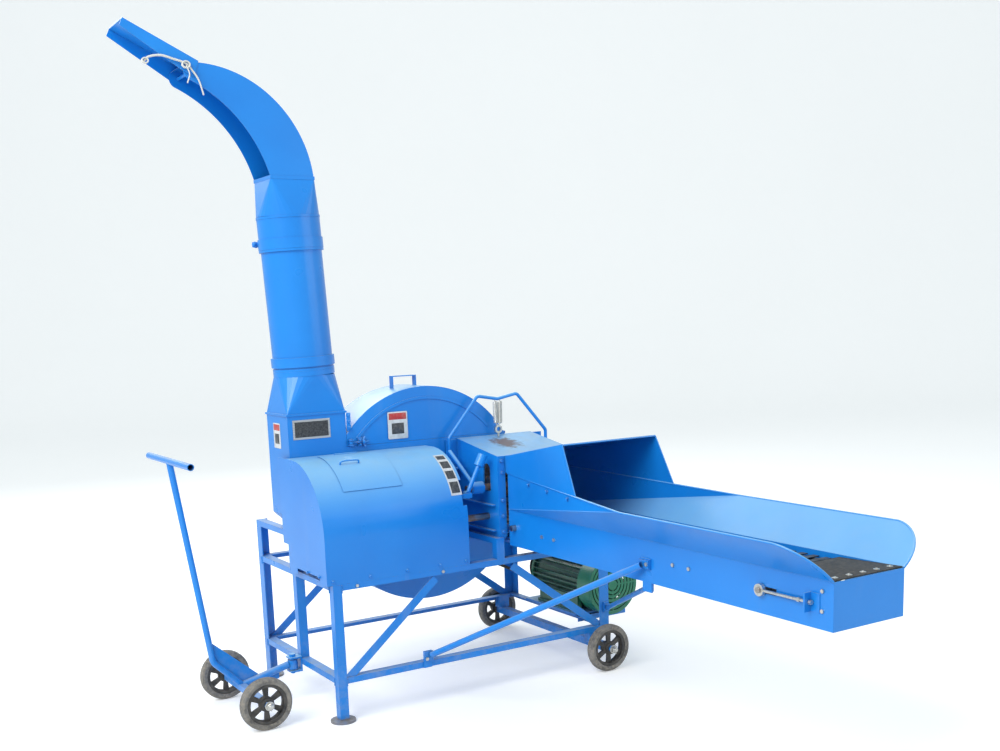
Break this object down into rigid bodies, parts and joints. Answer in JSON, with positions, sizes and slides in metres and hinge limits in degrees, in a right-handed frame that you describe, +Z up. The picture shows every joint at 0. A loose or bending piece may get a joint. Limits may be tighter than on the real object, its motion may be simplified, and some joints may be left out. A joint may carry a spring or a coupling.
{
  "type": "chaff cutter",
  "caption": "Disc-type forage chopper with conveyor feed trough, sprung feed roller, cutter drum, swivelling throwing chute, electric motor, and tow dolly.",
  "frame": {"origin": "centre of the front-left foot plate's underside, on the floor", "axes": "+X along the frame from the dolly to the motor, +Y from the feed side to the back, +Z up"},
  "size_m": [2.572, 3.187, 3.1847],
  "materials": {
    "blue_paint": "gloss azure enamel over sheet steel",
    "green_paint": "satin dark green enamel",
    "plain_steel": "machined and zinc plated",
    "blade_steel": "ground",
    "black_iron": "black paint on cast iron",
    "tyre_rubber": "dusty grey solid rubber",
    "dark_steel": "oiled dark steel",
    "black_rubber": "matt black",
    "black_plastic": "moulded",
    "plate_aluminium": "blank stamped plate"
  },
  "bodies": {
    "frame": {"axle_beam": "blue_paint", "brace_brackets": "blue_paint", "brace_tubes": "blue_paint", "chute_transition": "blue_paint", "chute_tube": "blue_paint", "conveyor_chains": "dark_steel", "conveyor_slats": "dark_steel", "cutter_housing": "blue_paint", "fan_cowl": "green_paint", "fasteners": "plain_steel", "feed_hood": "blue_paint", "feed_trough": "blue_paint", "fixed_blade": "blade_steel", "front_bearing": "black_iron", "gearbox_casing": "blue_paint", "guard_cover": "blue_paint", "hitch_bracket": "blue_paint", "main_frame": "blue_paint", "motor_body": "green_paint", "motor_mount": "blue_paint", "name_plate": "plate_aluminium", "rear_bearing": "black_iron", "rubber_flap": "black_rubber", "spring_eye_bolt": "plain_steel", "terminal_box": "green_paint", "throat_housing": "blue_paint", "v_belts": "black_rubber"},
    "rotor": {"main_shaft": "plain_steel", "cutter_disc": "plain_steel", "blades": "blade_steel", "throwing_paddles": "plain_steel", "main_pulley": "black_iron", "drive_pinion": "plain_steel"},
    "motor_rotor": {"motor_shaft": "plain_steel", "motor_pulley": "black_iron", "cooling_fan": "black_plastic"},
    "intermediate": {"intermediate_gear": "plain_steel"},
    "lower_feed": {"lower_roller": "plain_steel"},
    "upper_drive": {"upper_drive_shaft": "plain_steel"},
    "upper_feed": {"upper_roller": "plain_steel"},
    "floating_bow": {"pressing_bow": "blue_paint", "press_springs": "plain_steel"},
    "conveyor_head": {"head_shaft": "plain_steel"},
    "conveyor_tail": {"tail_shaft": "plain_steel"},
    "take_up": {"take_up_blocks": "plain_steel"},
    "spout": {"spout_elbow": "blue_paint"},
    "flap": {"deflector_flap": "blue_paint"},
    "cover": {"housing_cover": "blue_paint"},
    "hatch": {"guard_hatch": "blue_paint"},
    "lever": {"shift_lever": "blue_paint"},
    "dolly": {"dolly_frame": "blue_paint"},
    "wheel_front_right": {"front_right_wheel_centre": "black_iron", "front_right_tyre": "tyre_rubber"},
    "wheel_rear_right": {"rear_right_wheel_centre": "black_iron", "rear_right_tyre": "tyre_rubber"},
    "wheel_front_left": {"front_left_wheel_centre": "black_iron", "front_left_tyre": "tyre_rubber"},
    "wheel_rear_left": {"rear_left_wheel_centre": "black_iron", "rear_left_tyre": "tyre_rubber"}
  },
  "joints": [
    {"name": "rotor_spin", "type": "hinge", "parent": "frame", "child": "rotor", "pos_m": [0.72, 0.535, 0.973], "axis": [0, 1, 0], "continuous": true},
    {"name": "motor_spin", "type": "hinge", "parent": "frame", "child": "motor_rotor", "pos_m": [1.69, 0.4, 0.387], "axis": [0, 1, 0], "continuous": true},
    {"name": "intermediate_spin", "type": "hinge", "parent": "frame", "child": "intermediate", "pos_m": [0.5301, 0.25, 0.87], "axis": [0, 1, 0], "continuous": true},
    {"name": "lower_roller_spin", "type": "hinge", "parent": "frame", "child": "lower_feed", "pos_m": [1.135, 0.1, 0.87], "axis": [1, 0, 0], "continuous": true},
    {"name": "upper_drive_spin", "type": "hinge", "parent": "frame", "child": "upper_drive", "pos_m": [0.6, 0.1, 1.02], "axis": [1, 0, 0], "continuous": true},
    {"name": "floating_lift", "type": "slide", "parent": "frame", "child": "floating_bow", "axis": [0, 0, 1], "range_m": [0, 0.06], "deforming": ["press_springs"]},
    {"name": "upper_roller_spin", "type": "hinge", "parent": "floating_bow", "child": "upper_feed", "pos_m": [1.135, 0.1, 1.02], "axis": [1, 0, 0], "continuous": true},
    {"name": "conveyor_head_spin", "type": "hinge", "parent": "frame", "child": "conveyor_head", "pos_m": [1.135, -0.078, 0.825], "axis": [1, 0, 0], "continuous": true},
    {"name": "take_up_slide", "type": "slide", "parent": "frame", "child": "take_up", "axis": [0, -1, 0], "range_m": [0, 0.03], "deforming": ["conveyor_chains", "conveyor_slats"]},
    {"name": "conveyor_tail_spin", "type": "hinge", "parent": "take_up", "child": "conveyor_tail", "pos_m": [1.135, -1.808, 0.825], "axis": [1, 0, 0], "continuous": true},
    {"name": "spout_swivel", "type": "hinge", "parent": "frame", "child": "spout", "pos_m": [0.106, 0.535, 2.222], "axis": [-0.0446, 0, 0.999], "range_deg": [-180, 180]},
    {"name": "flap_tilt", "type": "hinge", "parent": "spout", "child": "flap", "pos_m": [-0.352, 0.535, 2.99], "axis": [0, -1, 0], "range_deg": [0, 40]},
    {"name": "cover_open", "type": "hinge", "parent": "frame", "child": "cover", "pos_m": [1.219, 0.535, 1.251], "axis": [0, 1, 0], "range_deg": [0, 95]},
    {"name": "hatch_open", "type": "hinge", "parent": "frame", "child": "hatch", "pos_m": [0.24, 0.338, 1.2292], "axis": [-1, 0, 0], "range_deg": [0, 110]},
    {"name": "shift_lever_tilt", "type": "hinge", "parent": "frame", "child": "lever", "pos_m": [0.752, 0.046, 1], "axis": [0, 1, 0], "range_deg": [-15, 6]},
    {"name": "dolly_steer", "type": "hinge", "parent": "frame", "child": "dolly", "pos_m": [-0.062, 0.448, 0.19], "axis": [0, 0, 1], "range_deg": [-18, 18]},
    {"name": "front_right_wheel_spin", "type": "hinge", "parent": "frame", "child": "wheel_front_right", "pos_m": [1.47, -0.14, 0.125], "axis": [0, 1, 0], "continuous": true},
    {"name": "rear_right_wheel_spin", "type": "hinge", "parent": "frame", "child": "wheel_rear_right", "pos_m": [1.47, 0.98, 0.125], "axis": [0, 1, 0], "continuous": true},
    {"name": "front_left_wheel_spin", "type": "hinge", "parent": "dolly", "child": "wheel_front_left", "pos_m": [-0.332, 0.116, 0.125], "axis": [0, 1, 0], "continuous": true},
    {"name": "rear_left_wheel_spin", "type": "hinge", "parent": "dolly", "child": "wheel_rear_left", "pos_m": [-0.332, 0.694, 0.125], "axis": [0, 1, 0], "continuous": true}
  ],
  "couplings": [
    {"joint": "motor_spin", "follows": "rotor_spin", "ratio": 2},
    {"joint": "intermediate_spin", "follows": "rotor_spin", "ratio": -0.33333},
    {"joint": "lower_roller_spin", "follows": "rotor_spin", "ratio": -0.16667},
    {"joint": "upper_drive_spin", "follows": "rotor_spin", "ratio": 0.21212},
    {"joint": "upper_roller_spin", "follows": "rotor_spin", "ratio": 0.21212},
    {"joint": "conveyor_head_spin", "follows": "rotor_spin", "ratio": -0.16667},
    {"joint": "conveyor_tail_spin", "follows": "rotor_spin", "ratio": -0.16667}
  ]
}
